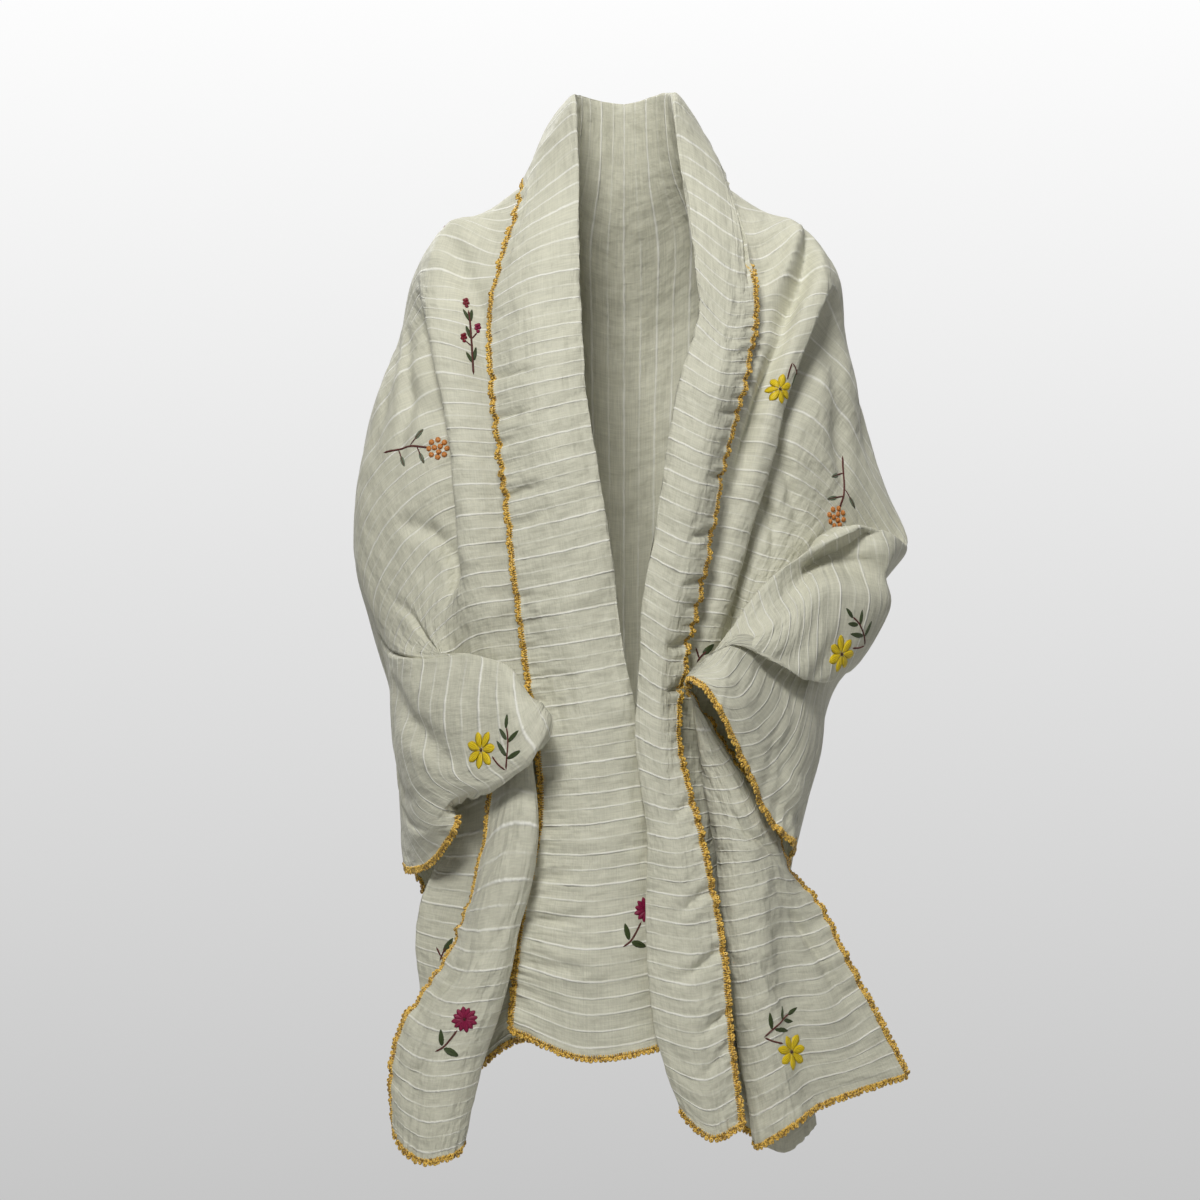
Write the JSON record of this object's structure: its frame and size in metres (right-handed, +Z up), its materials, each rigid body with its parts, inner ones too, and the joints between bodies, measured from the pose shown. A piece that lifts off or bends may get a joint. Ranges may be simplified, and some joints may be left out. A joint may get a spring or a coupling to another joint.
{
  "type": "draped shawl",
  "caption": "Ivory silk shawl with a crochet edging and embroidered sprigs, draped over the shoulders and both bent forearms, hollow.",
  "frame": {"origin": "middle of the wearer's neck base, where the shawl is held up on the shoulders", "axes": "+Z up along the wearer's height, front faces -Y, wearer's right is -X"},
  "size_m": [0.5127, 0.3397, 0.9767],
  "materials": {
    "silk": "slubbed ivory silk with thin woven stripes and a soft sheen",
    "gold_thread": "old-gold crochet thread"
  },
  "bodies": {
    "root": {"collar_nape": "silk", "back_yoke": "silk", "back_panel": "silk", "collar_right": "silk", "band_right": "silk", "front_right": "silk", "inner_right": "silk", "arm_right": "silk", "arm_hang_right": "silk", "forearm_right": "silk", "tail_right": "silk", "collar_left": "silk", "band_left": "silk", "front_left": "silk", "inner_left": "silk", "arm_left": "silk", "arm_hang_left": "silk", "arm_hem_left": "silk", "forearm_left": "silk", "tail_left": "silk", "collar_edging_nape": "gold_thread", "collar_edging_right": "gold_thread", "collar_edging_left": "gold_thread", "outer_edging_back": "gold_thread", "outer_edging_right": "gold_thread", "outer_edging_left": "gold_thread", "tail_edging_right": "gold_thread", "tail_edging_left": "gold_thread", "end_edging_right": "gold_thread", "end_edging_left": "gold_thread"}
  },
  "joints": []
}
